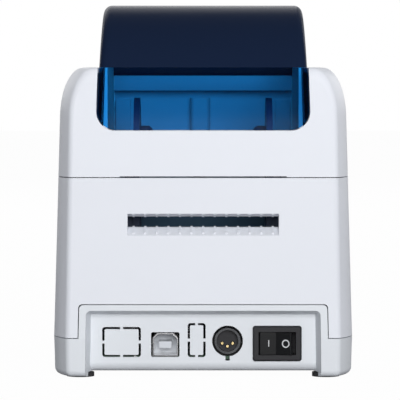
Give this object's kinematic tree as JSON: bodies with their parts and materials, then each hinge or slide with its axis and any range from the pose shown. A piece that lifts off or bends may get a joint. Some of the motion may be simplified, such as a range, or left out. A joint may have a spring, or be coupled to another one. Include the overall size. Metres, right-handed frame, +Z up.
{
  "type": "label printer",
  "caption": "Compact desktop label printer: hinged lid with a curved tinted window, roll bay with sliding guides, geared platen and print head, rear sockets and rocker switch.",
  "frame": {"origin": "under the middle of the case, on the plane of the rubber feet", "axes": "+Z up, +Y to the back of the printer where the sockets are, +X to the user's right when facing the front"},
  "size_m": [0.143, 0.212, 0.1775],
  "materials": {
    "case_plastic": "fine-textured light grey moulding",
    "lid_plastic": "fine-textured light grey moulding",
    "tinted_window": "blue-tinted clear moulding",
    "navy_gloss": "glossy dark navy moulding",
    "bay_plastic": "mid grey inner moulding",
    "dark_plastic": "black moulding",
    "guide_plastic": "dark blue-grey moulding",
    "gear_plastic": "natural acetal",
    "socket_plastic": "pale grey insert",
    "light_pipe": "clear light pipe",
    "button_plastic": "grey button cap",
    "latch_plastic": "blue lever",
    "rubber": "matt black rubber",
    "steel": "zinc-plated steel sheet",
    "bright_steel": "bright plated steel",
    "aluminium": "extruded aluminium",
    "ceramic": "glazed ceramic",
    "motor_metal": "dark motor can",
    "board": "green circuit board",
    "chip": "black packages",
    "contact_metal": "gilt contacts"
  },
  "bodies": {
    "case": {"base_shell": "case_plastic", "housing_shell": "case_plastic", "front_panel": "navy_gloss", "hinge_arms": "bay_plastic", "hinge_pins": "bright_steel", "label_bay": "bay_plastic", "mech_frame": "steel", "paper_guide": "dark_plastic", "media_sensor": "dark_plastic", "platen_bushings": "gear_plastic", "idler_pin": "bright_steel", "feed_motor": "motor_metal", "latch_pins": "bright_steel", "status_lights": "light_pipe", "control_board": "board", "main_board": "board", "board_chips": "chip", "usb_shell": "bright_steel", "usb_insert": "socket_plastic", "power_jack_shell": "bright_steel", "power_jack_body": "dark_plastic", "power_jack_pins": "contact_metal", "switch_body": "dark_plastic", "rubber_feet": "rubber", "case_screws": "steel"},
    "lid": {"lid_shell": "lid_plastic", "lid_window": "tinted_window", "lid_front_cover": "navy_gloss", "lid_liner": "bay_plastic", "lid_catches": "steel", "head_mount": "steel", "head_pin": "bright_steel", "head_springs": "bright_steel", "tear_bar": "bright_steel"},
    "head": {"head_bracket": "steel", "head_heatsink": "aluminium", "print_head": "ceramic"},
    "platen": {"platen_roller": "rubber", "platen_shaft": "bright_steel", "platen_gear": "gear_plastic"},
    "idler": {"idler_gear": "gear_plastic"},
    "motor_rotor": {"motor_shaft": "bright_steel", "motor_pinion": "contact_metal"},
    "guide_right": {"roll_guide_right": "guide_plastic"},
    "guide_left": {"roll_guide_left": "guide_plastic"},
    "guide_gear": {"guide_pinion": "gear_plastic"},
    "release_right": {"latch_right": "latch_plastic"},
    "release_left": {"latch_left": "latch_plastic"},
    "feed_key": {"feed_button": "button_plastic"},
    "power_rocker": {"switch_rocker": "dark_plastic"}
  },
  "joints": [
    {"name": "lid_hinge", "type": "hinge", "parent": "case", "child": "lid", "pos_m": [0, 0.09381, 0.112], "axis": [-1, 0, 0], "range_deg": [0, 90]},
    {"name": "head_float", "type": "hinge", "parent": "lid", "child": "head", "pos_m": [0, -0.058, 0.095], "axis": [-1, 0, 0], "range_deg": [0, 2], "stiffness_Nm_per_rad": 0.5, "springref_deg": -5.73},
    {"name": "platen_spin", "type": "hinge", "parent": "case", "child": "platen", "pos_m": [0, -0.084, 0.0734], "axis": [1, 0, 0], "continuous": true},
    {"name": "idler_spin", "type": "hinge", "parent": "case", "child": "idler", "pos_m": [0, -0.0742, 0.05643], "axis": [1, 0, 0], "continuous": true},
    {"name": "motor_spin", "type": "hinge", "parent": "case", "child": "motor_rotor", "pos_m": [0, -0.05822, 0.05123], "axis": [1, 0, 0], "continuous": true},
    {"name": "guide_right_slide", "type": "slide", "parent": "case", "child": "guide_right", "axis": [-1, 0, 0], "range_m": [0, 0.0235]},
    {"name": "guide_left_slide", "type": "slide", "parent": "case", "child": "guide_left", "axis": [1, 0, 0], "range_m": [0, 0.0235]},
    {"name": "guide_pinion_spin", "type": "hinge", "parent": "case", "child": "guide_gear", "pos_m": [0, 0.032, 0.033], "axis": [0, 0, 1], "range_deg": [0, 212]},
    {"name": "release_right_press", "type": "hinge", "parent": "case", "child": "release_right", "pos_m": [0.0625, -0.075, 0.05], "axis": [0, -1, 0], "range_deg": [0, 6], "stiffness_Nm_per_rad": 0.4, "springref_deg": -5.73},
    {"name": "release_left_press", "type": "hinge", "parent": "case", "child": "release_left", "pos_m": [-0.0625, -0.075, 0.05], "axis": [0, 1, 0], "range_deg": [0, 6], "stiffness_Nm_per_rad": 0.4, "springref_deg": -5.73},
    {"name": "feed_press", "type": "slide", "parent": "case", "child": "feed_key", "axis": [0, 1, 0], "range_m": [0, 0.0008], "stiffness_N_per_m": 500, "springref_m": -0.001},
    {"name": "power_rock", "type": "hinge", "parent": "case", "child": "power_rocker", "pos_m": [-0.0352, 0.0944, 0.0161], "axis": [0, 0, 1], "range_deg": [0, 18]}
  ],
  "couplings": [
    {"joint": "idler_spin", "follows": "platen_spin", "ratio": -0.75},
    {"joint": "motor_spin", "follows": "platen_spin", "ratio": 1.5},
    {"joint": "guide_left_slide", "follows": "guide_right_slide", "ratio": 1},
    {"joint": "guide_pinion_spin", "follows": "guide_right_slide", "rad_per_m": 156.25}
  ]
}
